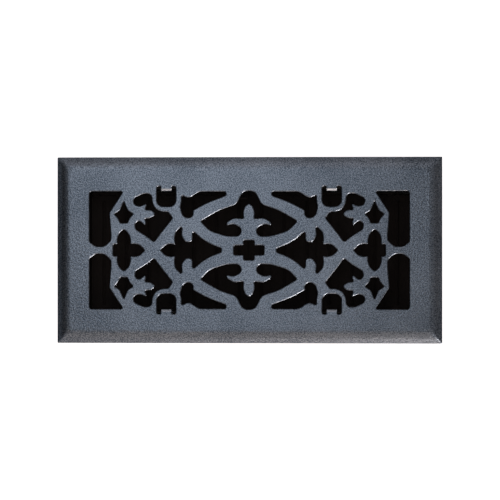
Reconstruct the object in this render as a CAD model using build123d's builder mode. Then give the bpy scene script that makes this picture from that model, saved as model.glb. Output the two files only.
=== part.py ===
from build123d import *
import os
from math import atan2, cos, hypot, radians, sin, tan

os.makedirs("parts", exist_ok=True)

# A drop-in floor register for a 4 x 10 in duct, in mm.
# The floor is z = 0, the origin is under the middle of the face, and the damper box hangs into the duct.

# Faceplate: a shallow pan pressed from one sheet, with a sloped rim that is mitred at the corners
PLATE_LENGTH = 288.9
PLATE_WIDTH = 139.7
PLATE_RISE = 4.8  # floor to face
SHEET = 1.5
EDGE_LAND = 0.8  # upright part of the rim's outer edge
BEVEL_RUN = 6.4  # rim slope, in plan
FACE_BEND = 14.0  # outside radius between slope and face

# Tabs: four strips of the face bent down, with relief notches beside them and a foot crimped outwards
TAB_OFFSET = 62.0  # from the middle of the face
TAB_WIDTH = 7.9
TAB_DROP = 6.1  # floor to the top of the foot
TAB_FOOT = 2.8  # foot, past the tab's outer face
TAB_BEND = 0.5  # inside radius
CUP_WIDTH = 14.4  # opening that the tab was cut from
CUP_DEPTH = 15.3
CUP_RADIUS = 5.0
NOTCH_PAST_BEND = 1.6
NOTCH_CUT = 1.0  # blunt corners of the notch

# Damper box: four walls of folded steel, sizes inside
BOX_LENGTH = 244.0
BOX_WIDTH = 92.6
BOX_DEPTH = 32.0  # floor to the lower lips
WALL = 0.9
LIP = 4.0
FLANGE = 8.0  # end wall, round the side wall
SLOT_SLACK = 0.3  # tab foot in its slot

# Shutters across the box, each turning on tongues left at its two ends
BLADE_COUNT = 14
BLADE_SHEET = 0.7
BLADE_LAP = 2.0
END_GAP = 2.0  # first and last pitch to the end walls
SIDE_GAP = 0.6  # blade to the front wall
PIVOT_DROP = 18.5  # floor to the pivots
REST_TILT = 4.0  # degrees, left edge up, where the blades lie closed on each other
TONGUE = 2.4
TONGUE_PROUD = 0.8  # past the wall, and past the link bar
RUN_FIT = 0.08  # clearance of a turning tongue in its square hole
RIB_WIDTH = 3.0
RIB_RISE = 1.2
RIB_END = 5.0  # end of the rib to the end of the blade

# Linkage between the blades' ears and the rear wall
LINK_ROOM = 4.5  # ear to rear wall
CRANK = 8.0
CRANK_ANGLE = 137.0  # degrees, on a level blade
EAR_FOOT = 6.0
LINK_TONGUE = 1.6
BAR_GAP = 0.4
BAR_SHEET = 1.2
BAR_HEIGHT = 4.4
BAR_END = 3.5  # past the last tongues
BAR_CUT = 1.2  # blunt corners
LEVER_WIDTH = 8.0
LEVER_SHEET = 0.8
LEVER_REACH = 4.8  # from the bar's rear face towards the middle
LEVER_JOG_DROP = 6.0  # floor to the start of the jog
LEVER_JOG_RISE = 3.0
LEVER_TOP_DROP = 0.5
LEVER_BEND = 1.5
LEVER_CORNER = 2.5

# Fretwork: corners of each opening as (x, y, corner radius), in units of the drawing, from the middle of the face
FRET_UNIT = 1.0  # mm
HORN = [
    (18.0, 43.9, 0), (37.2, 43.9, 8.0), (45.2, 38.8, 4.5), (49.6, 40.9, 0), (50.4, 40.3, 0),
    (50.5, 36.5, 0), (51.5, 32.5, 6.0), (49.3, 24.1, 5.0), (41.6, 24.4, 3.5), (42.0, 28.8, 0),
    (41.2, 30.2, 0), (31.0, 35.8, 0), (18.2, 40.5, 0), (17.3, 41.4, 0), (17.2, 43.1, 0),
]
CORNER = [
    (119.0, 44.15, 0), (119.9, 43.2, 0), (119.9, 6.5, 0), (115.2, 2.7, 6.0), (108.6, 2.7, 6.0),
    (103.7, 7.4, 4.0), (103.7, 12.5, 0), (105.0, 27.9, 3.0), (95.3, 42.6, 0), (96.2, 44.15, 0),
]
LEAF = [
    (70.4, 7.0, 0), (72.2, 6.8, 0), (75.6, 9.7, 0), (85.0, 15.6, 2.8), (85.8, 20.2, 3.0), (82.3, 22.3, 2.5),
    (78.5, 19.1, 0), (77.5, 19.4, 0), (77.4, 21.0, 0), (78.0, 23.1, 0), (77.3, 23.8, 0), (74.2, 23.9, 6.0),
    (69.5, 26.9, 1.9), (73.4, 30.1, 4.0), (77.2, 30.1, 0), (77.9, 31.1, 0), (76.9, 33.8, 0), (77.6, 34.6, 0),
    (82.0, 32.7, 5.0), (86.3, 34.2, 3.0), (86.9, 38.9, 3.5), (79.0, 42.5, 8.0), (72.8, 42.5, 3.6),
    (72.8, 35.9, 9.0), (70.0, 30.7, 7.0), (64.8, 28.6, 8.0), (60.7, 28.9, 2.5), (57.6, 24.5, 0),
    (57.8, 23.4, 0), (67.0, 11.8, 0),
]
KITE_MIDDLE = 94.0
KITE_HALF = [
    (94.6, 35.4, 0), (96.9, 29.9, 5.0), (100.5, 27.5, 0), (100.6, 26.6, 0), (98.2, 23.9, 0), (96.7, 20.4, 0),
]
LENS_HALF = [
    (4.4, 44.4, 6.0), (9.4, 34.2, 7.0), (22.0, 30.1, 40.0), (35.2, 22.4, 0), (35.4, 20.9, 0),
    (29.4, 14.5, 14.0), (16.0, 10.4, 20.0), (5.9, 10.4, 4.0), (5.9, 16.6, 3.5), (11.3, 19.8, 6.0),
    (16.2, 18.6, 0), (16.9, 19.6, 0), (15.9, 21.5, 3.0), (11.0, 24.2, 6.0), (4.9, 23.6, 0), (4.0, 24.3, 0),
    (4.5, 28.4, 8.0), (2.9, 32.8, 5.0), (0.9, 34.4, 0),
]
SPEAR_HALF = [
    (20.7, 0.9, 0), (21.6, 1.8, 0), (29.0, 4.6, 30.0), (36.0, 9.0, 20.0), (40.8, 13.5, 0), (42.2, 12.9, 0),
    (42.3, 6.05, 2.6), (47.6, 6.05, 3.0), (50.6, 10.6, 5.0), (50.1, 16.6, 0), (51.2, 17.3, 0),
    (55.0, 13.6, 5.0), (55.85, 9.0, 0), (55.3, 4.8, 0), (55.9, 4.3, 0), (58.8, 4.9, 6.0), (62.6, 4.0, 6.0),
    (65.95, 0.5, 0),
]
QUATREFOIL_HALF = [
    (78.8, 0.5, 0), (82.0, 3.9, 5.0), (86.0, 4.9, 8.0), (88.6, 4.5, 0), (89.1, 5.1, 0), (88.9, 8.2, 8.0),
    (90.5, 12.9, 7.0), (93.4, 15.3, 0), (94.6, 15.3, 0), (97.5, 12.9, 7.0), (98.95, 8.2, 8.0),
    (98.7, 5.1, 0), (99.2, 4.4, 0), (101.3, 4.6, 0), (102.05, 3.8, 0),
]
CROSS_QUARTER = [
    (11.35, 2.9, 0), (10.6, 3.7, 0), (4.5, 3.7, 0), (3.95, 4.3, 0), (3.95, 6.8, 0), (3.2, 7.5, 0),
]

# Places that follow from the sizes above
under_face = PLATE_RISE - SHEET
tab_face = BOX_WIDTH / 2 - TAB_BEND
bend_line = tab_face + TAB_BEND
notch_end = bend_line + NOTCH_PAST_BEND
wall_outside = BOX_WIDTH / 2 + WALL
pitch = (BOX_LENGTH - 2 * END_GAP) / BLADE_COUNT
blade_width = pitch + BLADE_LAP
pivots = [(i - (BLADE_COUNT - 1) / 2) * pitch for i in range(BLADE_COUNT)]
pivot_hole = hypot(TONGUE, BLADE_SHEET) + 2 * RUN_FIT
link_hole = hypot(LINK_TONGUE, BLADE_SHEET) + 2 * RUN_FIT
ear_face = BOX_WIDTH / 2 - LINK_ROOM
bar_front = ear_face + BAR_GAP
bar_rear = bar_front + BAR_SHEET
link_on_blade = (CRANK * cos(radians(CRANK_ANGLE)), CRANK * sin(radians(CRANK_ANGLE)))
link_shift = CRANK * cos(radians(CRANK_ANGLE - REST_TILT))
link_height = CRANK * sin(radians(CRANK_ANGLE - REST_TILT)) - PIVOT_DROP


def across_x(half, middle=0.0):
    """Whole outline of a motif from its right half, mirrored in the line x = middle."""
    return half + [(2 * middle - x, y, r) for x, y, r in reversed(half)]


def across_y(half):
    """Whole outline of a motif from its upper half, mirrored in the line y = 0."""
    return half + [(x, -y, r) for x, y, r in reversed(half)]


def pierce(corners, unit=FRET_UNIT):
    """Add one opening to the sketch: straight runs between the corners, each rounded by its own radius."""
    points = [(x * unit, y * unit) for x, y, _ in corners]
    with BuildLine() as edge:
        FilletPolyline(*points, radius=[r * unit for _, _, r in corners], close=True)
    make_face(edge.edges())


def bent_sheet(points, bends, thickness, side):
    """Add a folded sheet's section to the sketch, on one side of the line through the points."""
    with BuildLine() as section:
        FilletPolyline(*points, radius=bends)
        offset(amount=thickness, side=side, kind=Kind.INTERSECTION)
    make_face(section.edges())


def bevelled_block(length, width, bottom, top, run, drop, bend):
    """Block with its upper edges sloped, and the bend between slope and top rounded."""
    with BuildPart() as block:
        with Locations((0, 0, bottom)):
            Box(length, width, top - bottom, align=(Align.CENTER, Align.CENTER, Align.MIN))
        crown = block.faces().sort_by(Axis.Z)[-1]
        chamfer(crown.edges(), length=run, length2=drop, reference=crown)
        fillet(block.faces().sort_by(Axis.Z)[-1].edges(), radius=bend)
    return block.part


# Faceplate: the hollow under it keeps the sheet's thickness along the rim's edge, slope, bend and face
slope = atan2(PLATE_RISE - EDGE_LAND, BEVEL_RUN)
pan = bevelled_block(
    PLATE_LENGTH, PLATE_WIDTH, 0, PLATE_RISE, BEVEL_RUN, PLATE_RISE - EDGE_LAND, FACE_BEND
)
hollow_run = BEVEL_RUN + SHEET * tan(slope / 2) - SHEET
hollow = bevelled_block(
    PLATE_LENGTH - 2 * SHEET,
    PLATE_WIDTH - 2 * SHEET,
    -PLATE_RISE,
    under_face,
    hollow_run,
    hollow_run * tan(slope),
    FACE_BEND - SHEET,
)

with BuildPart() as tabs:
    with BuildSketch(Plane.YZ.offset(TAB_OFFSET - TAB_WIDTH / 2)):
        tab_line = [
            (notch_end, under_face),
            (tab_face, under_face),
            (tab_face, -TAB_DROP),
            (tab_face + TAB_FOOT, -TAB_DROP),
        ]
        bent_sheet(tab_line, [TAB_BEND, 0], SHEET, Side.RIGHT)
    extrude(amount=TAB_WIDTH)
    mirror(about=Plane.YZ)
    mirror(about=Plane.XZ)

# Right half of the opening that a tab was cut from, seen from the tab's middle
cup_half = [
    (TAB_WIDTH / 2, bend_line, 0),
    (TAB_WIDTH / 2, notch_end - NOTCH_CUT, 0),
    (TAB_WIDTH / 2 + NOTCH_CUT, notch_end, 0),
    (CUP_WIDTH / 2 - NOTCH_CUT, notch_end, 0),
    (CUP_WIDTH / 2, notch_end - NOTCH_CUT, 0),
    (CUP_WIDTH / 2, notch_end - CUP_DEPTH, CUP_RADIUS),
]
cup = [(x + TAB_OFFSET, y, r) for x, y, r in across_x(cup_half)]

with BuildPart() as faceplate:
    add(pan)
    add(hollow, mode=Mode.SUBTRACT)
    with BuildSketch(Plane.XY.offset(PLATE_RISE)):
        pierce(cup, unit=1)
        pierce(HORN)
        pierce(CORNER)
        pierce(LEAF)
        pierce(across_x(KITE_HALF, middle=KITE_MIDDLE))
        mirror(about=Plane.YZ)
        mirror(about=Plane.XZ)
    extrude(amount=-SHEET, mode=Mode.SUBTRACT)
    with BuildSketch(Plane.XY.offset(PLATE_RISE)):
        pierce(across_x(LENS_HALF))
        mirror(about=Plane.XZ)
    extrude(amount=-SHEET, mode=Mode.SUBTRACT)
    with BuildSketch(Plane.XY.offset(PLATE_RISE)):
        pierce(across_y(SPEAR_HALF))
        pierce(across_y(QUATREFOIL_HALF))
        mirror(about=Plane.YZ)
        pierce(across_y(across_x(CROSS_QUARTER)))
    extrude(amount=-SHEET, mode=Mode.SUBTRACT)
    add(tabs.part)
faceplate.part.label = "faceplate"
export_step(faceplate.part, "parts/faceplate.step")

# Long walls of the damper box
with BuildPart() as side_wall_rear:
    with BuildSketch(Plane.YZ.offset(-BOX_LENGTH / 2)):
        wall_line = [
            (BOX_WIDTH / 2, under_face),
            (BOX_WIDTH / 2, WALL - BOX_DEPTH),
            (BOX_WIDTH / 2 - LIP, WALL - BOX_DEPTH),
        ]
        bent_sheet(wall_line, 0, WALL, Side.LEFT)
    extrude(amount=BOX_LENGTH)
    with BuildSketch(Plane.XZ):
        with Locations(*[(x, -PIVOT_DROP) for x in pivots]):
            Rectangle(pivot_hole, pivot_hole)
        with Locations((-TAB_OFFSET, -TAB_DROP), (TAB_OFFSET, -TAB_DROP)):
            Rectangle(TAB_WIDTH + 2 * SLOT_SLACK, SHEET + SLOT_SLACK, align=(Align.CENTER, Align.MAX))
    extrude(amount=-wall_outside, mode=Mode.SUBTRACT)
side_wall_rear.part.label = "side_wall_rear"
export_step(side_wall_rear.part, "parts/side_wall_rear.step")

with BuildPart() as side_wall_front:
    mirror(side_wall_rear.part, about=Plane.XZ)
side_wall_front.part.label = "side_wall_front"
export_step(side_wall_front.part, "parts/side_wall_front.step")

# Short walls, with flanges round the outside of the long ones and a lip between their lips
with BuildPart() as end_wall_right:
    with BuildSketch(Plane.XY.offset(-BOX_DEPTH)):
        channel_line = [
            (BOX_LENGTH / 2 - FLANGE, -wall_outside),
            (BOX_LENGTH / 2, -wall_outside),
            (BOX_LENGTH / 2, wall_outside),
            (BOX_LENGTH / 2 - FLANGE, wall_outside),
        ]
        bent_sheet(channel_line, 0, WALL, Side.RIGHT)
    extrude(amount=under_face + BOX_DEPTH)
    with BuildSketch(Plane.XY.offset(-BOX_DEPTH)):
        with Locations((BOX_LENGTH / 2, 0)):
            Rectangle(LIP, BOX_WIDTH - 4 * LIP, align=(Align.MAX, Align.CENTER))
    extrude(amount=WALL)
end_wall_right.part.label = "end_wall_right"
export_step(end_wall_right.part, "parts/end_wall_right.step")

with BuildPart() as end_wall_left:
    mirror(end_wall_right.part, about=Plane.YZ)
end_wall_left.part.label = "end_wall_left"
export_step(end_wall_left.part, "parts/end_wall_left.step")

# Shutters, each with a pressed rib, a tongue at both ends and an ear bent up at the rear
blade_dir = (cos(radians(REST_TILT)), 0, -sin(radians(REST_TILT)))
blade_normal = (sin(radians(REST_TILT)), 0, cos(radians(REST_TILT)))
blade_front = SIDE_GAP - BOX_WIDTH / 2
rib_under = [(-RIB_WIDTH / 2, -BLADE_SHEET / 2), (0, RIB_RISE - BLADE_SHEET / 2), (RIB_WIDTH / 2, -BLADE_SHEET / 2)]
rib_over = [(x, y + BLADE_SHEET) for x, y in rib_under]
for number, pivot in enumerate(pivots, start=1):
    flat = Plane(origin=(pivot, 0, -PIVOT_DROP), x_dir=blade_dir, z_dir=blade_normal)
    section = Plane(origin=(pivot, ear_face, -PIVOT_DROP), x_dir=blade_dir, z_dir=(0, -1, 0))
    with BuildPart() as shutter:
        with BuildSketch(flat):
            with Locations((0, blade_front)):
                Rectangle(blade_width, ear_face - blade_front, align=(Align.CENTER, Align.MIN))
            Rectangle(TONGUE, 2 * (wall_outside + TONGUE_PROUD))
        extrude(amount=BLADE_SHEET / 2, both=True)
        for triangle, mode in ((rib_over, Mode.ADD), (rib_under, Mode.SUBTRACT)):
            with BuildSketch(section.offset(RIB_END)):
                with BuildLine():
                    Polyline(*triangle, close=True)
                make_face()
            extrude(amount=ear_face - blade_front - 2 * RIB_END, mode=mode)
        with BuildSketch(section):
            with BuildLine():
                Polyline(
                    (link_on_blade[0] - EAR_FOOT / 2, -BLADE_SHEET / 2),
                    (link_on_blade[0] + EAR_FOOT / 2, -BLADE_SHEET / 2),
                    (link_on_blade[0] + LINK_TONGUE, link_on_blade[1] + BLADE_SHEET / 2),
                    (link_on_blade[0] - LINK_TONGUE, link_on_blade[1] + BLADE_SHEET / 2),
                    close=True,
                )
            make_face()
        extrude(amount=BLADE_SHEET)
        with BuildSketch(section):
            with Locations(link_on_blade):
                Rectangle(LINK_TONGUE, BLADE_SHEET)
        extrude(amount=ear_face - bar_rear - TONGUE_PROUD)
    shutter.part.label = f"shutter_{number:02d}"
    export_step(shutter.part, f"parts/shutter_{number:02d}.step")

# Link bar on edge along the rear wall, with a hole for the tongue on every ear
with BuildPart() as link_bar:
    with BuildSketch(Plane.XZ.offset(-bar_rear)):
        with Locations((link_shift, link_height)):
            strip = Rectangle(pivots[-1] - pivots[0] + 2 * BAR_END, BAR_HEIGHT)
        chamfer(strip.vertices(), length=BAR_CUT)
        with Locations(*[(x + link_shift, link_height) for x in pivots]):
            Rectangle(link_hole, link_hole, mode=Mode.SUBTRACT)
    extrude(amount=BAR_SHEET)
link_bar.part.label = "link_bar"
export_step(link_bar.part, "parts/link_bar.step")

# Finger lever on the middle of the bar, reached through the opening above it
with BuildPart() as lever:
    with BuildSketch(Plane.YZ.offset(link_shift - LEVER_WIDTH / 2)):
        lever_line = [
            (bar_rear, link_height - BAR_HEIGHT / 2),
            (bar_rear, -LEVER_JOG_DROP),
            (bar_rear - LEVER_REACH, LEVER_JOG_RISE - LEVER_JOG_DROP),
            (bar_rear - LEVER_REACH, -LEVER_TOP_DROP),
        ]
        bent_sheet(lever_line, LEVER_BEND, LEVER_SHEET, Side.RIGHT)
    extrude(amount=LEVER_WIDTH)
    tip_edges = lever.edges().filter_by(Axis.Y).group_by(Axis.Z)[-1]
    fillet(tip_edges, radius=LEVER_CORNER)
lever.part.label = "lever"
export_step(lever.part, "parts/lever.step")
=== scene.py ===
import bpy
import numpy as np
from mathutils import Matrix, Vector
from mathutils.geometry import delaunay_2d_cdt


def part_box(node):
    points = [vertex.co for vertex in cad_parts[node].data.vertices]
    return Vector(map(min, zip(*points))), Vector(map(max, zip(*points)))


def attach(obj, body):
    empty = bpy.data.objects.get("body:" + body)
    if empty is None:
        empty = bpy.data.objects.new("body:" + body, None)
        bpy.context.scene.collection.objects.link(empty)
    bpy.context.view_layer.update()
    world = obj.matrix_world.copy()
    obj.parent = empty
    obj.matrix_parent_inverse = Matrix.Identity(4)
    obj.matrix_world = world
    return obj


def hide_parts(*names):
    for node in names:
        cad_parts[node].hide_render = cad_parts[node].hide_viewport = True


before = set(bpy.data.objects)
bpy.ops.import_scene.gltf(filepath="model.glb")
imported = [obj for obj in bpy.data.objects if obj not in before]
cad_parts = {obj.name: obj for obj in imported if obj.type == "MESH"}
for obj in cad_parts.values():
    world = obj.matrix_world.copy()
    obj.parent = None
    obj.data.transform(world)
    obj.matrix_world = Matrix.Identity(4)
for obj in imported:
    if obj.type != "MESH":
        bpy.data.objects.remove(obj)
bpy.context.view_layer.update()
scene = bpy.context.scene
scene.view_settings.view_transform = "Standard"

MM = 0.001
QUARTER_TURN = np.pi / 2
QUADRANTS = [(1, 1), (-1, 1), (-1, -1), (1, -1)]
plate_low, plate_high = (np.array(corner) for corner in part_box("faceplate"))
box_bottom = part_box("end_wall_left")[0][2]
wall_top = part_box("side_wall_front")[1][2]

# Sizes of the pressed face, as the solids have them
HALF_LENGTH = plate_high[0]
HALF_WIDTH = plate_high[1]
TOP = plate_high[2]
SHEET = 1.5 * MM
UNDER = TOP - SHEET
EDGE_LAND = 0.8 * MM
BEVEL_RUN = 6.4 * MM
FACE_BEND = 14.0 * MM
TAB_OFFSET = 62.0 * MM
TAB_WIDTH = 7.9 * MM
TAB_FOOT = 2.8 * MM
TAB_BEND = 0.5 * MM
TAB_BOTTOM = plate_low[2]
BEND_LINE = 46.3 * MM

# Softness of edges and bends under the coat, too fine for the solids
RIM_ROUND = 0.7 * MM
RIM_SLOPE = np.radians(43)
RIM_COIN = 0.25 * MM
UNDER_ROUND = 0.3 * MM
HOLLOW_ROUND = 0.1 * MM
MITRE_ROUND = 0.6 * MM
MITRE_SPREAD = 0.3
TAB_ROUND = 0.4 * MM
TAB_SLOPE = np.radians(37)
TAB_COIN = 0.8 * MM
TAB_CRIMP = 0.15 * MM

# Edge wear by the tilt of the surface: 1 on the rims, and 2 on the tabs' bends, where the film is thinnest
RIM_WEAR_TILT = np.radians([0, 20, 65, 90])
RIM_WEAR = [0, 1, 1, 0]
TAB_WEAR_TILT = np.radians([5, 25, 85, 95])
TAB_WEAR = [0, 2, 2, 0]

# Fineness of the mesh: the angle of one chord, points along each kind of arc, and how near equal points lie
CHORD_ANGLE = np.radians(9)
BEND_POINTS = 9
EDGE_POINTS = 4
HOLLOW_POINTS = 3
MITRE_POINTS = 6
TAB_POINTS = 6
CRIMP_POINTS = 10
WELD_DIGITS = 7
SHEET_TOLERANCE = 1e-9

# Openings of the face: corners as (x, y, radius) in mm from the middle, with the tips rounded by the coat
HORN = [
    (17.0, 43.9, 1.5), (37.2, 43.9, 8.0), (45.2, 38.8, 4.5), (50.6, 41.4, 0.9), (50.5, 36.5, 12.0),
    (51.5, 32.5, 6.0), (49.3, 24.1, 4.9), (41.6, 24.4, 3.4), (42.0, 29.8, 2.0), (31.0, 35.7, 40.0),
    (17.4, 40.8, 1.2),
]
CORNER = [
    (119.9, 44.15, 1.8), (119.9, 6.3, 2.2), (115.2, 2.7, 6.0), (108.6, 2.7, 6.0), (103.7, 7.4, 4.0),
    (103.7, 12.5, 20.0), (105.0, 27.9, 3.0), (94.4, 44.15, 1.0),
]
LEAF = [
    (71.2, 5.9, 1.6), (75.6, 9.7, 20.0), (85.0, 15.6, 2.8), (85.8, 20.2, 3.0), (82.3, 22.3, 2.5),
    (77.5, 18.2, 0.8), (77.3, 21.0, 4.0), (78.2, 23.8, 0.8), (74.2, 23.9, 6.0), (69.5, 26.9, 1.9),
    (73.4, 30.1, 4.0), (78.2, 30.1, 1.0), (76.3, 35.2, 0.8), (82.0, 32.7, 5.0), (86.3, 34.2, 3.0),
    (86.9, 38.9, 3.5), (79.0, 42.5, 8.0), (72.8, 42.5, 3.6), (72.8, 35.9, 9.0), (70.0, 30.7, 7.0),
    (64.8, 28.6, 8.0), (60.7, 28.9, 2.5), (57.3, 24.0, 1.5), (67.0, 11.8, 40.0),
]
KITE_MIDDLE = 94.0
KITE_HALF = [(94.3, 36.2, 0.3), (96.9, 29.9, 5.0), (101.2, 27.1, 0.8), (98.2, 23.9, 8.0), (96.7, 20.3, 1.0)]
LENS_HALF = [
    (4.4, 44.4, 6.0), (9.4, 34.2, 7.0), (22.0, 30.1, 40.0), (36.3, 21.8, 1.3), (29.4, 14.5, 14.0),
    (16.0, 10.4, 20.0), (5.9, 10.4, 4.0), (5.9, 16.6, 3.5), (11.3, 19.8, 6.0), (17.8, 18.2, 1.0),
    (15.9, 21.5, 3.0), (11.0, 24.2, 6.0), (4.6, 23.5, 0.9), (4.0, 24.3, 0.9), (4.5, 28.4, 8.0),
    (2.9, 32.8, 5.0), (0.6, 34.6, 0.9),
]
SPEAR_HALF = [
    (20.7, 1.5, 1.2), (29.0, 4.6, 30.0), (36.0, 9.0, 20.0), (42.3, 14.9, 1.2), (42.3, 6.05, 2.6),
    (47.6, 6.05, 3.0), (50.6, 10.6, 5.0), (50.0, 18.6, 0.9), (55.0, 13.6, 5.0), (55.85, 9.0, 10.0),
    (55.2, 4.1, 0.8), (58.8, 4.9, 6.0), (62.6, 4.0, 6.0), (66.1, 0.4, 0.6),
]
QUATREFOIL_HALF = [
    (78.6, 0.4, 0.6), (82.0, 3.9, 5.0), (86.0, 4.9, 8.0), (89.1, 4.4, 0.8), (88.9, 8.2, 8.0),
    (90.5, 12.9, 7.0), (94.0, 15.8, 1.6), (97.5, 12.9, 7.0), (98.95, 8.2, 8.0), (98.7, 4.4, 0.8),
    (102.05, 4.6, 1.2),
]
CROSS_QUARTER = [(11.35, 3.7, 1.2), (4.0, 3.7, 0.8), (4.0, 7.5, 1.2)]
CUP_HALF = [(3.95, 46.3, 0.8), (3.95, 47.9, 0.8), (7.2, 47.9, 1.5), (7.2, 32.6, 5.0)]

# Colour sockets of the Mix node, which has sockets of the same names for other kinds of value
MIX_FIRST = 6
MIX_SECOND = 7
MIX_RESULT = 2

# Lamps that face the middle of the part: name, place and size in metres, radiance and colour
LAMPS = [
    ("low_key", (0.55, -0.84, 0.083), (0.48, 0.12), 27.0, "#ffeada"),
    ("front_panel", (-0.1, -0.75, 1.0), (0.9, 0.8), 0.6, "#ffe2c8"),
    ("low_front", (0.13, -0.95, 0.27), (0.5, 0.08), 5.6, "#ffe2c8"),
    ("back_panel", (-0.04, 0.73, 0.68), (0.32, 0.81), 1.25, "#fff0e8"),
    ("right_panel", (0.47, 0.0, 0.88), (1.0, 0.55), 0.1, "#ffffff"),
    ("corner_panel_1", (-0.78, 0.78, 0.8), (0.8, 1.0), 0.25, "#fff4ec"),
    ("corner_panel_2", (-0.78, -0.78, 0.8), (0.8, 1.0), 0.25, "#fff4ec"),
    ("corner_panel_3", (0.78, 0.78, 0.8), (0.8, 1.0), 0.34, "#fff4ec"),
    ("corner_panel_4", (0.78, -0.78, 0.8), (0.8, 1.0), 0.5, "#fff4ec"),
]


def flip_x(corners, middle=0.0):
    """The same corners on the other side of the line x = middle, in the opposite order."""
    return [(2 * middle - x, y, r) for x, y, r in reversed(corners)]


def flip_y(corners):
    """The same corners on the other side of the line y = 0, in the opposite order."""
    return [(x, -y, r) for x, y, r in reversed(corners)]


def all_openings():
    """Corners of every opening: motifs of a quarter four times, of a half twice, and one in the middle."""
    cup = [(x + TAB_OFFSET / MM, y, r) for x, y, r in CUP_HALF + flip_x(CUP_HALF)]
    quarter = [HORN, CORNER, LEAF, KITE_HALF + flip_x(KITE_HALF, KITE_MIDDLE), cup]
    right = quarter + [flip_y(motif) for motif in quarter]
    right += [motif + flip_y(motif) for motif in (SPEAR_HALF, QUATREFOIL_HALF)]
    lens = LENS_HALF + flip_x(LENS_HALF)
    cross = CROSS_QUARTER + flip_x(CROSS_QUARTER)
    return right + [flip_x(motif) for motif in right] + [lens, flip_y(lens), cross + flip_y(cross)]


def rounded_outline(corners):
    """Closed outline through the corners, each one an arc of its own radius: points and normals, in metres.

    It runs anticlockwise, and the normals point into the opening, straight across the arc or line. An arc
    starts before its corner by its radius times the tangent of half the turn.
    """
    table = np.array(corners) * MM
    middle, radius = table[:, :2], table[:, 2]
    before, after = np.roll(middle, 1, axis=0), np.roll(middle, -1, axis=0)
    if np.sum(middle[:, 0] * after[:, 1] - after[:, 0] * middle[:, 1]) < 0:
        return rounded_outline(corners[::-1])
    into = (middle - before) / np.linalg.norm(middle - before, axis=1)[:, None]
    out = (after - middle) / np.linalg.norm(after - middle, axis=1)[:, None]
    turns = np.arctan2(into[:, 0] * out[:, 1] - into[:, 1] * out[:, 0], np.sum(into * out, axis=1))
    left = np.stack([-into[:, 1], into[:, 0]], axis=1)
    points, normals = [], []
    for corner, ahead, side, bend, turn in zip(middle, into, left, radius, turns):
        swing = np.linspace(0, turn, int(np.ceil(abs(turn) / CHORD_ANGLE)) + 1)[:, None]
        facing = side * np.cos(swing) - ahead * np.sin(swing)
        start = corner - ahead * bend * np.tan(abs(turn) / 2)
        points.append(start + (side - facing) * bend * np.sign(turn))
        normals.append(facing)
    return np.concatenate(points), np.concatenate(normals)


def grid_faces(rows, columns):
    """Quads of a grid of points whose rows close on themselves."""
    row, column = np.meshgrid(np.arange(rows - 1), np.arange(columns), indexing="ij")
    outside_painted_shadow = (column + 1) % columns
    corners = (row * columns + column, row * columns + outside_painted_shadow,
               (row + 1) * columns + outside_painted_shadow, (row + 1) * columns + column)
    return np.stack(corners, axis=-1).reshape(-1, 4)


class Shell:
    """Points, normals, edge wear and faces of one piece, from several surfaces that share their borders."""

    def __init__(self):
        self.points, self.normals, self.wear, self.faces = [], [], [], []

    def add(self, points, normals, faces, wear=0.0):
        """Add one surface, its points and normals as rows of three."""
        count = sum(len(rows) for rows in self.points)
        self.points.append(points)
        self.normals.append(normals)
        self.wear.append(np.broadcast_to(wear, len(points)))
        self.faces += (np.asarray(faces) + count).tolist()

    def piece(self, name):
        """Mesh object whose surfaces are joined at equal points, with the mean of their normals.

        Points are equal to a tenth of a micron, and faces that have no width at that measure are left out.
        """
        points, first, place = np.unique(
            np.round(np.concatenate(self.points), WELD_DIGITS), axis=0, return_index=True, return_inverse=True
        )
        place = place.ravel()
        faces = [list(dict.fromkeys(place[face].tolist())) for face in self.faces]
        normals = np.zeros_like(points)
        np.add.at(normals, place, np.concatenate(self.normals))
        normals /= np.linalg.norm(normals, axis=1)[:, None]
        mesh = bpy.data.meshes.new(name)
        mesh.from_pydata(points.tolist(), [], [face for face in faces if len(face) > 2])
        mesh.polygons.foreach_set("use_smooth", np.ones(len(mesh.polygons), dtype=bool))
        worn = mesh.attributes.new("edge_wear", "FLOAT", "POINT")
        worn.data.foreach_set("value", np.concatenate(self.wear)[first].astype(np.float32))
        mesh.normals_split_custom_set_from_vertices(normals.tolist())
        made = bpy.data.objects.new(name, mesh)
        scene.collection.objects.link(made)
        return made


def arc(middle, radius, start, end, count):
    """Arc as (inset, height, tilt of the normal): a point lies one radius from the middle, along its normal.

    An inset grows away from the normal, so the sine of the tilt is taken off it.
    """
    tilt = np.linspace(start, end, count)
    return np.stack([middle[0] - radius * np.sin(tilt), middle[1] + radius * np.cos(tilt), tilt], axis=1)


def coined_corner(radius, slope, reach, count):
    """Edge pressed down in two small arcs with a straight slope between: run, drop and tilt of the normal.

    The run is the radius times the sine of the tilt, and the drop is the radius times one less its cosine.
    Past the first arc both grow by what the slope covers.
    """
    tilt = np.concatenate([np.linspace(0, slope, count), np.linspace(slope, QUARTER_TURN, count)])
    straight = (reach - radius) / np.cos(slope) * (np.arange(2 * count) >= count)
    run = radius * np.sin(tilt) + straight * np.cos(slope)
    drop = radius * (1 - np.cos(tilt)) + straight * np.sin(slope)
    return np.stack([run, drop, tilt], axis=1)


def cut_profile():
    """Cut edge of the sheet round an opening, from the coined rim of the face to the underside."""
    run, drop, tilt = coined_corner(RIM_COIN, RIM_SLOPE, RIM_ROUND, EDGE_POINTS).T
    upper = np.stack([RIM_ROUND - run, TOP - drop, tilt], axis=1)
    lower_middle = (UNDER_ROUND, UNDER + UNDER_ROUND)
    lower = arc(lower_middle, UNDER_ROUND, QUARTER_TURN, 2 * QUARTER_TURN, EDGE_POINTS)
    return np.concatenate([upper, lower])


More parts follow.
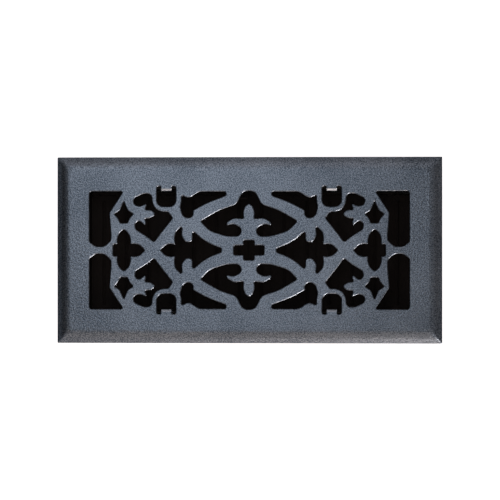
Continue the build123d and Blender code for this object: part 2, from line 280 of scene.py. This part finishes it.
def rim_profile():
    """Rim of the pan from the face, down its slope, round its edge and up the hollow side to the underside.

    Slope and face are joined by a wide bend, and the hollow side runs one sheet's thickness below them. Each
    small arc's middle lies where the slope and the upright or level edge leave room for its radius.
    """
    slope = np.arctan2(TOP - EDGE_LAND, BEVEL_RUN)
    bend_middle = (BEVEL_RUN + FACE_BEND * np.tan(slope / 2), TOP - FACE_BEND)
    nose = EDGE_LAND - UNDER_ROUND * np.tan((QUARTER_TURN - slope) / 2)
    inside = BEVEL_RUN + SHEET * np.tan(slope / 2)
    hollow_corner = UNDER - (inside - SHEET) * np.tan(slope)
    outward, down, inward = QUARTER_TURN * np.array([1, 2, 3])
    return np.concatenate([
        arc(bend_middle, FACE_BEND, 0, slope, BEND_POINTS),
        arc((UNDER_ROUND, nose), UNDER_ROUND, slope, outward, EDGE_POINTS),
        arc((UNDER_ROUND, UNDER_ROUND), UNDER_ROUND, outward, down, EDGE_POINTS),
        arc((SHEET - UNDER_ROUND, UNDER_ROUND), UNDER_ROUND, down, inward, EDGE_POINTS),
        arc((SHEET, hollow_corner), -HOLLOW_ROUND, inward, down + slope, HOLLOW_POINTS),
        arc(bend_middle, SHEET - FACE_BEND, down + slope, down, BEND_POINTS),
    ])


def plan_rectangle(inset):
    """Plan of the face moved in by each inset, its mitred corners softened by an arc: points and normals.

    The arc's radius grows with the inset, so the mitre is crisp at the edge and melts into the face.
    """
    corner_turn = np.linspace(0, QUARTER_TURN, MITRE_POINTS)
    turn = np.concatenate([corner_turn + k * QUARTER_TURN for k in range(len(QUADRANTS))])
    facing = np.stack([np.cos(turn), np.sin(turn)], axis=1)
    corner = np.repeat(QUADRANTS, MITRE_POINTS, axis=0)
    radius = (MITRE_ROUND + MITRE_SPREAD * inset)[:, None, None]
    half = np.array([HALF_LENGTH, HALF_WIDTH]) - inset[:, None, None] - radius
    return half * corner + radius * facing, facing


def sweep(shell, plan, facing, profile, wear=0.0, reverse=False):
    """Profile carried round an outline: each step at its own height, its normal tilted from upright."""
    _, height, tilt = profile.T
    rows, columns = plan.shape[:2]
    points = np.concatenate([plan, np.tile(height[:, None, None], (1, columns, 1))], axis=2)
    upright = np.tile(np.cos(tilt)[:, None, None], (1, columns, 1))
    normals = np.concatenate([np.sin(tilt)[:, None, None] * facing, upright], axis=2)
    faces = grid_faces(rows, columns)
    worn = np.repeat(np.broadcast_to(wear, rows), columns)
    shell.add(points.reshape(-1, 3), normals.reshape(-1, 3), faces[:, ::-1] if reverse else faces, worn)


def flat_sheet(shell, loops, height, facing):
    """Flat surface between the first loop and the others, facing up (1) or down (-1).

    It keeps the triangles whose middle an odd number of loops goes round: a line from the middle towards +x
    crosses the loops' sides that often.
    """
    points = np.concatenate(loops)
    counts = [len(loop) for loop in loops]
    starts = np.repeat(np.cumsum([0] + counts[:-1]), counts)
    here = np.arange(len(points))
    there = starts + (here - starts + 1) % np.repeat(counts, counts)
    sides = np.stack([here, there], axis=1).tolist()
    _, _, faces, origin, _, _ = delaunay_2d_cdt(
        [Vector(point) for point in points], sides, [], 0, SHEET_TOLERANCE
    )
    triangles = np.array([source[0] for source in origin])[np.array(faces)]
    middles = points[triangles].mean(axis=1)[:, None]
    low, high = points[here], points[there]
    spans = (low[:, 1] > middles[..., 1]) != (high[:, 1] > middles[..., 1])
    rise = np.where(high[:, 1] == low[:, 1], 1.0, high[:, 1] - low[:, 1])
    crossing = low[:, 0] + (middles[..., 1] - low[:, 1]) / rise * (high[:, 0] - low[:, 0])
    kept = triangles[np.sum(spans & (middles[..., 0] < crossing), axis=1) % 2 == 1]
    raised = np.column_stack([points, np.full(len(points), height)])
    shell.add(raised, np.tile((0.0, 0.0, facing), (len(points), 1)), kept if facing > 0 else kept[:, ::-1])


def tab_skins():
    """Upper and lower skin of a tab as (distance from the middle line, height), and the tilt of its normal.

    The upper skin turns down to a slope, runs straight, and turns on to upright. The lower skin is a quarter
    circle. Both then go round the crimp, a quarter circle about one pivot, and out along the foot.
    """
    run, drop, turn = coined_corner(TAB_COIN, TAB_SLOPE, TAB_BEND + SHEET, TAB_POINTS).T
    upper = np.stack([BEND_LINE - run, TOP - drop], axis=1)
    lower = np.stack([BEND_LINE - TAB_BEND * np.sin(turn), UNDER - TAB_BEND * (1 - np.cos(turn))], axis=1)
    crimp = np.linspace(0, QUARTER_TURN, CRIMP_POINTS)
    inward = np.stack([np.cos(crimp), np.sin(crimp)], axis=1)
    outer_face = BEND_LINE - TAB_BEND
    pivot = np.array([outer_face + TAB_CRIMP, TAB_BOTTOM + SHEET + TAB_CRIMP])
    root, toe = BEND_LINE + RIM_ROUND, outer_face + TAB_FOOT
    upper = np.concatenate([[(root, TOP)], upper, pivot - (TAB_CRIMP + SHEET) * inward, [(toe, TAB_BOTTOM)]])
    lower = np.concatenate([[(root, UNDER)], lower, pivot - TAB_CRIMP * inward, [(toe, TAB_BOTTOM + SHEET)]])
    return upper, lower, np.concatenate([[0], turn, crimp + QUARTER_TURN, [2 * QUARTER_TURN]])


def tab_strip(shell, side_x, side_y):
    """Bent tab: a strip with rounded edges carried down its coined bend and out along its crimped foot.

    Each point lies between the two skins, by its share of the thickness, and across the width. Its normal
    turns from up, over towards the middle of the face, to down.
    """
    upper, lower, tilt = tab_skins()
    corner_swing = np.linspace(0, QUARTER_TURN, EDGE_POINTS)
    swing = np.concatenate([corner_swing + k * QUARTER_TURN for k in range(len(QUADRANTS))])
    edge = np.stack([np.cos(swing), np.sin(swing)], axis=1)
    corner = np.repeat(QUADRANTS, EDGE_POINTS, axis=0)
    section = (np.array([TAB_WIDTH, SHEET]) / 2 - TAB_ROUND) * corner + TAB_ROUND * edge
    share = (section[:, 1:] / SHEET + 1 / 2)[None]
    skin = upper[:, None] * share + lower[:, None] * (1 - share)
    side = np.array([side_x, side_y, 1])
    width = np.broadcast_to(TAB_OFFSET + section[:, :1], (len(tilt), len(section), 1))
    points = np.concatenate([width, skin], axis=2) * side
    upward = np.stack([np.zeros(len(tilt)), -np.sin(tilt), np.cos(tilt)], axis=1)[:, None]
    normals = (edge[:, :1] * np.array([1.0, 0.0, 0.0]) + edge[:, 1:] * upward) * side
    faces = grid_faces(len(tilt), len(section))
    mirrored = side_x * side_y < 0
    worn = np.repeat(np.interp(tilt, TAB_WEAR_TILT, TAB_WEAR), len(section))
    shell.add(points.reshape(-1, 3), normals.reshape(-1, 3), faces[:, ::-1] if mirrored else faces, worn)
    ends = np.arange(len(section))
    for row in (0, -1):
        cap = ends if (row == 0) == mirrored else ends[::-1]
        shell.add(points[row], normals[row], [cap])


def build_face():
    """Pressed face: sloped rim, flat sheet with soft-edged openings, and four bent tabs."""
    shell = Shell()
    rim = rim_profile()
    plan, facing = plan_rectangle(rim[:, 0])
    sweep(shell, plan, facing, rim, reverse=True)
    tops, unders = [plan[0]], [plan[-1]]
    cut = cut_profile()
    wear = np.interp(cut[:, 2], RIM_WEAR_TILT, RIM_WEAR)
    for corners in all_openings():
        outline, normals = rounded_outline(corners)
        plan = outline - cut[:, 0, None, None] * normals
        sweep(shell, plan, normals, cut, wear)
        tops.append(plan[0])
        unders.append(plan[-1])
    flat_sheet(shell, tops, TOP, 1.0)
    flat_sheet(shell, unders, UNDER, -1.0)
    for side_x in (1, -1):
        for side_y in (1, -1):
            tab_strip(shell, side_x, side_y)
    return shell.piece("pressed_face")


def linear(colour):
    """Linear red, green, blue and alpha of an sRGB hex colour.

    Dark shares are divided by 12.92. Others gain 0.055, are divided by 1.055 and taken to the power of 2.4.
    """
    parts = np.array([int(colour[k:k + 2], 16) for k in (1, 3, 5)]) / 255
    return (*np.where(parts <= 0.04045, parts / 12.92, ((parts + 0.055) / 1.055) ** 2.4), 1.0)


def add_node(tree, kind, sockets=None, **settings):
    """Add a node with its settings; a socket takes a value, or the output of another node."""
    made = tree.nodes.new(kind)
    for name, value in settings.items():
        setattr(made, name, value)
    for name, value in (sockets or {}).items():
        if isinstance(value, bpy.types.NodeSocket):
            tree.links.new(value, made.inputs[name])
        else:
            made.inputs[name].default_value = value
    return made


def new_material(name):
    """Empty material: its node tree and its output node."""
    material = bpy.data.materials.new(name)
    material.use_nodes = True
    material.node_tree.nodes.clear()
    return material, material.node_tree, add_node(material.node_tree, "ShaderNodeOutputMaterial")


def graphite_powder_coat():
    """Graphite powder coat with metal flake, sprayed and baked: slate grey, mirroring the room softly.

    The sandy tooth breaks the shine into grains. Grain and flake are drawn coarser than the real 0.3 mm, so
    that they show. The tooth shades itself at a slant, so the tint of slanting reflections is held down to a
    slate. The film runs smooth over the cut edges, which catch the light, and thin and bright over the bends
    of the tabs.
    """
    grain_size, flake_size, cloud_size = 1.5 * MM, 0.7 * MM, 45 * MM
    tooth_height = 0.4 * MM
    flake_share = 0.5
    material, tree, output = new_material("graphite_powder_coat")
    place = add_node(tree, "ShaderNodeTexCoord").outputs["Object"]
    grain = add_node(tree, "ShaderNodeTexNoise", {"Vector": place, "Scale": 1 / grain_size, "Detail": 1.0})
    flake = add_node(tree, "ShaderNodeTexNoise", {"Vector": place, "Scale": 1 / flake_size, "Detail": 1.0})
    cloud = add_node(tree, "ShaderNodeTexNoise", {"Vector": place, "Scale": 1 / cloud_size, "Detail": 1.0})
    clouded = add_node(tree, "ShaderNodeMapRange", {
        "Value": cloud.outputs["Fac"], "From Min": 0.3, "From Max": 0.7, "To Min": -0.04, "To Max": 0.04})
    speckle = add_node(tree, "ShaderNodeMath",
                       {0: flake.outputs["Fac"], 1: clouded.outputs[0]}, operation="ADD")
    tone = add_node(tree, "ShaderNodeValToRGB", {"Fac": speckle.outputs[0]})
    for stop, position, shade in zip(tone.color_ramp.elements, (0.32, 0.68), ("#414d5c", "#8d99a9")):
        stop.position = position
        stop.color = linear(shade)
    worn = add_node(tree, "ShaderNodeAttribute", attribute_name="edge_wear").outputs["Fac"]
    shine = add_node(tree, "ShaderNodeMapRange", {"Value": worn, "To Min": 0.33, "To Max": 0.36})
    rough = add_node(tree, "ShaderNodeMapRange", {"Value": worn, "To Min": 0.55, "To Max": 0.03})
    height = add_node(tree, "ShaderNodeMath", {
        0: flake.outputs["Fac"], 1: flake_share, 2: grain.outputs["Fac"]}, operation="MULTIPLY_ADD")
    tooth = add_node(tree, "ShaderNodeBump",
                     {"Strength": rough.outputs[0], "Distance": tooth_height, "Height": height.outputs[0]})
    thin = add_node(tree, "ShaderNodeMapRange", {
        "Value": worn, "From Min": 1.0, "From Max": 2.0, "To Max": 0.85})
    colour = add_node(tree, "ShaderNodeMix", {
        "Factor": thin.outputs[0], MIX_FIRST: tone.outputs["Color"], MIX_SECOND: linear("#b6c4d6"),
    }, data_type="RGBA")
    shader = add_node(tree, "ShaderNodeBsdfPrincipled", {
        "Base Color": colour.outputs[MIX_RESULT], "Metallic": 0.97, "Roughness": shine.outputs[0],
        "Specular Tint": linear("#a0b2c8"), "Normal": tooth.outputs["Normal"],
    })
    tree.links.new(shader.outputs[0], output.inputs["Surface"])
    return material


def black_stove_enamel():
    """Black stove enamel on folded steel, dipped and baked: nearly black, satin, with a faint orange peel.

    The upper edge is painted near black and made duller over its top few tenths of a millimetre: a painted
    shade that keeps it black behind the openings.
    """
    peel_size, haze_size = 2.2 * MM, 30 * MM
    peel_height = 0.2 * MM
    # Band under the walls' top edge that is painted near black: painted shade
    shade_band_start, shade_band_full = wall_top - 0.4 * MM, wall_top - 0.1 * MM
    shade_band_dullness = 0.5
    material, tree, output = new_material("black_stove_enamel")
    place = add_node(tree, "ShaderNodeTexCoord").outputs["Object"]
    peel = add_node(tree, "ShaderNodeTexNoise", {"Vector": place, "Scale": 1 / peel_size, "Detail": 2.0})
    haze = add_node(tree, "ShaderNodeTexNoise", {"Vector": place, "Scale": 1 / haze_size, "Detail": 3.0})
    tone = add_node(tree, "ShaderNodeValToRGB", {"Fac": haze.outputs["Fac"]})
    for stop, position, shade in zip(tone.color_ramp.elements, (0.3, 0.75), ("#222224", "#2e2e31")):
        stop.position = position
        stop.color = linear(shade)
    satin = add_node(tree, "ShaderNodeMapRange",
                     {"Value": haze.outputs["Fac"], "To Min": 0.4, "To Max": 0.55})
    height = add_node(tree, "ShaderNodeSeparateXYZ", {0: place})
    # Painted shade mask: 0 below the band under the walls' top edge, 1 at the top
    painted_shade_band = add_node(tree, "ShaderNodeMapRange", {
        "Value": height.outputs["Z"], "From Min": shade_band_start, "From Max": shade_band_full})
    # Painted shade: the walls' colour turns near black in that band
    colour = add_node(tree, "ShaderNodeMix", {
        "Factor": painted_shade_band.outputs[0], MIX_FIRST: tone.outputs["Color"], MIX_SECOND: linear("#0a0a0a"),
    }, data_type="RGBA")
    dulled = add_node(tree, "ShaderNodeMath", {
        0: painted_shade_band.outputs[0], 1: shade_band_dullness, 2: satin.outputs[0]}, operation="MULTIPLY_ADD")
    ripple = add_node(tree, "ShaderNodeBump",
                      {"Strength": 0.15, "Distance": peel_height, "Height": peel.outputs["Fac"]})
    shader = add_node(tree, "ShaderNodeBsdfPrincipled", {
        "Base Color": colour.outputs[MIX_RESULT], "Roughness": dulled.outputs[0], "Specular IOR Level": 0.4,
        "Normal": ripple.outputs["Normal"],
    })
    tree.links.new(shader.outputs[0], output.inputs["Surface"])
    return material


def dull_black_paint():
    """Dull black paint on blanked steel, sprayed thin: soot black, so that the openings look empty."""
    dust_size, haze_size = 1.5 * MM, 30 * MM
    dust_height = 0.1 * MM
    material, tree, output = new_material("dull_black_paint")
    place = add_node(tree, "ShaderNodeTexCoord").outputs["Object"]
    dust = add_node(tree, "ShaderNodeTexNoise", {"Vector": place, "Scale": 1 / dust_size, "Detail": 2.0})
    haze = add_node(tree, "ShaderNodeTexNoise", {"Vector": place, "Scale": 1 / haze_size, "Detail": 3.0})
    tone = add_node(tree, "ShaderNodeValToRGB", {"Fac": haze.outputs["Fac"]})
    for stop, position, shade in zip(tone.color_ramp.elements, (0.3, 0.75), ("#191616", "#201d1d")):
        stop.position = position
        stop.color = linear(shade)
    dry = add_node(tree, "ShaderNodeMapRange", {"Value": haze.outputs["Fac"], "To Min": 0.7, "To Max": 0.85})
    nap = add_node(tree, "ShaderNodeBump",
                   {"Strength": 0.3, "Distance": dust_height, "Height": dust.outputs["Fac"]})
    shader = add_node(tree, "ShaderNodeBsdfPrincipled", {
        "Base Color": tone.outputs["Color"], "Roughness": dry.outputs[0], "Specular IOR Level": 0.08,
        "Normal": nap.outputs["Normal"],
    })
    tree.links.new(shader.outputs[0], output.inputs["Surface"])
    return material


def white_floor():
    """Matt white studio floor, seen as white next to the part, with a painted shadow below it, and open from
    beneath.

    The whiteness fades in over the outer part of the plate's footprint, by the distance to that rectangle.
    Over the same span the floor's own colour is painted down to black inward, a painted shadow under the
    plate.
    """
    painted_shadow_run = 16 * MM
    material, tree, output = new_material("white_floor")
    place = add_node(tree, "ShaderNodeTexCoord").outputs["Object"]
    reach = add_node(tree, "ShaderNodeVectorMath", {0: place}, operation="ABSOLUTE")
    past = add_node(tree, "ShaderNodeVectorMath",
                    {0: reach.outputs[0], 1: (HALF_LENGTH, HALF_WIDTH, 0.0)}, operation="SUBTRACT")
    sides = add_node(tree, "ShaderNodeSeparateXYZ", {0: past.outputs[0]})
    nearest = add_node(tree, "ShaderNodeMath",
                       {0: sides.outputs["X"], 1: sides.outputs["Y"]}, operation="MAXIMUM")
    # Painted shadow mask: 0 well inside the plate's footprint, 1 at its edge and outside it
    outside_painted_shadow = add_node(tree, "ShaderNodeMapRange", {
        "Value": nearest.outputs[0], "From Min": -painted_shadow_run, "From Max": 0.0,
    }, interpolation_type="SMOOTHSTEP")
    path = add_node(tree, "ShaderNodeLightPath").outputs
    seen = add_node(tree, "ShaderNodeMath",
                    {0: path["Is Camera Ray"], 1: path["Is Glossy Ray"]}, operation="MAXIMUM")
    through = add_node(tree, "ShaderNodeMath",
                       {0: seen.outputs[0], 1: path["Is Transmission Ray"]}, operation="MAXIMUM")
    white = add_node(tree, "ShaderNodeMath",
                     {0: through.outputs[0], 1: outside_painted_shadow.outputs[0]}, operation="MULTIPLY")
    # Painted shadow: the floor's colour goes from light grey outside the part to black under the plate
    pale_or_painted_shadow = add_node(tree, "ShaderNodeMix", {
        "Factor": outside_painted_shadow.outputs[0], MIX_FIRST: linear("#000000"), MIX_SECOND: linear("#d8d8d8"),
    }, data_type="RGBA")
    matt = add_node(tree, "ShaderNodeBsdfDiffuse", {"Color": pale_or_painted_shadow.outputs[MIX_RESULT]})
    glow = add_node(tree, "ShaderNodeEmission", {"Color": linear("#fafafa"), "Strength": white.outputs[0]})
    both = add_node(tree, "ShaderNodeAddShader", {0: matt.outputs[0], 1: glow.outputs[0]})
    clear = add_node(tree, "ShaderNodeBsdfTransparent")
    beneath = add_node(tree, "ShaderNodeNewGeometry").outputs["Backfacing"]
    back = add_node(tree, "ShaderNodeMath", {0: beneath, 1: path["Is Camera Ray"]}, operation="MULTIPLY")
    sided = add_node(tree, "ShaderNodeMixShader", {
        0: back.outputs[0], 1: both.outputs[0], 2: clear.outputs[0]})
    tree.links.new(sided.outputs[0], output.inputs["Surface"])
    return material


def add_floor():
    """Square floor just under the box."""
    reach = 8.0
    level = box_bottom - 0.2 * MM
    floor = bpy.data.meshes.new("studio_floor")
    floor.from_pydata([(-reach, -reach, level), (reach, -reach, level),
                       (reach, reach, level), (-reach, reach, level)], [], [(0, 1, 2, 3)])
    ground = bpy.data.objects.new("studio_floor", floor)
    floor.materials.append(white_floor())
    scene.collection.objects.link(ground)


def add_lamp(name, place, aim, size, radiance, colour, roll=0.0):
    """Soft rectangular lamp that faces its aim, rolled about that line.

    Its power is pi times its area times its radiance.
    """
    lamp = bpy.data.lights.new(name, "AREA")
    lamp.shape = "RECTANGLE"
    lamp.size, lamp.size_y = size
    lamp.energy = np.pi * size[0] * size[1] * radiance
    lamp.color = linear(colour)[:3]
    made = bpy.data.objects.new(name, lamp)
    made.location = place
    made.rotation_euler = (Vector(aim) - Vector(place)).to_track_quat("-Z", "Y").to_euler()
    made.rotation_euler.rotate_axis("Z", roll)
    scene.collection.objects.link(made)


def add_lamps():
    """Soft box straight overhead, turned against the plate, and the other lamps round the part.

    The low key lights the coined rims, the low front strip the tabs and the front slope, and the panels the
    face and the other slopes. The weak corner panels keep the coat slate from oblique sides.
    """
    softbox_x, softbox_y, softbox_height = -0.092, 0.093, 0.5
    softbox_size = (0.341, 0.461)
    softbox_radiance = 1.0
    softbox_roll = np.radians(30)
    add_lamp("overhead_softbox", (softbox_x, softbox_y, softbox_height), (softbox_x, softbox_y, 0.0),
             softbox_size, softbox_radiance, "#ffffff", softbox_roll)
    middle = (0.0, 0.0, 0.0)
    for name, place, size, radiance, colour in LAMPS:
        add_lamp(name, place, middle, size, radiance, colour)


def add_dome():
    """Dim warm surroundings: brighter to the right and in front, darker at both ends and behind.

    The strength is a base, plus shares of x, of x squared, of the square of the way to the front and of the
    way to the rear, and never less than a faint glow.
    """
    base, right_share, ends_share, front_share, rear_share = 0.08, 0.115, -0.06, 0.55, -0.08
    faint_glow = 0.02
    world = bpy.data.worlds.new("studio")
    world.use_nodes = True
    tree = world.node_tree
    direction = add_node(tree, "ShaderNodeTexCoord").outputs["Generated"]
    sky = add_node(tree, "ShaderNodeSeparateXYZ", {0: direction})
    across = sky.outputs["X"]
    ends = add_node(tree, "ShaderNodeMath", {0: across, 1: across}, operation="MULTIPLY").outputs[0]
    front = add_node(tree, "ShaderNodeMath",
                     {0: sky.outputs["Y"], 1: -1.0}, operation="MULTIPLY", use_clamp=True).outputs[0]
    front_square = add_node(tree, "ShaderNodeMath", {0: front, 1: front}, operation="MULTIPLY").outputs[0]
    rear = add_node(tree, "ShaderNodeMath",
                    {0: sky.outputs["Y"], 1: 1.0}, operation="MULTIPLY", use_clamp=True).outputs[0]
    level = base
    for way, share in ((across, right_share), (ends, ends_share),
                       (front_square, front_share), (rear, rear_share)):
        level = add_node(tree, "ShaderNodeMath",
                         {0: way, 1: share, 2: level}, operation="MULTIPLY_ADD").outputs[0]
    level = add_node(tree, "ShaderNodeMath", {0: level, 1: faint_glow}, operation="MAXIMUM").outputs[0]
    background = tree.nodes["Background"]
    background.inputs["Color"].default_value = linear("#ffeadd")
    tree.links.new(level, background.inputs["Strength"])
    scene.world = world


def add_camera():
    """Camera above the face and a little to its right, as the photo's spacing of the openings shows.

    Its focal length is the sensor's width times the distance, divided by the width of the view.
    """
    view_width = 374.95 * MM
    distance = 1.6
    aim = Vector((0.7 * MM, 0.1 * MM, EDGE_LAND))
    lean = np.radians(2.76)
    lens = bpy.data.cameras.new("camera")
    lens.sensor_width = 36.0
    lens.sensor_fit = "HORIZONTAL"
    lens.lens = lens.sensor_width * distance / view_width
    camera = bpy.data.objects.new("camera", lens)
    camera.location = aim + distance * Vector((np.sin(lean), 0.0, np.cos(lean)))
    camera.rotation_euler = (0.0, lean, 0.0)
    scene.collection.objects.link(camera)
    scene.camera = camera


face = build_face()
face.data.materials.append(graphite_powder_coat())
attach(face, "frame")
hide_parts("faceplate")

enamel = black_stove_enamel()
dull_paint = dull_black_paint()
for name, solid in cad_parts.items():
    if name != "faceplate":
        solid.data.materials.clear()
        solid.data.materials.append(enamel if "wall" in name else dull_paint)

add_floor()
add_lamps()
add_dome()
add_camera()
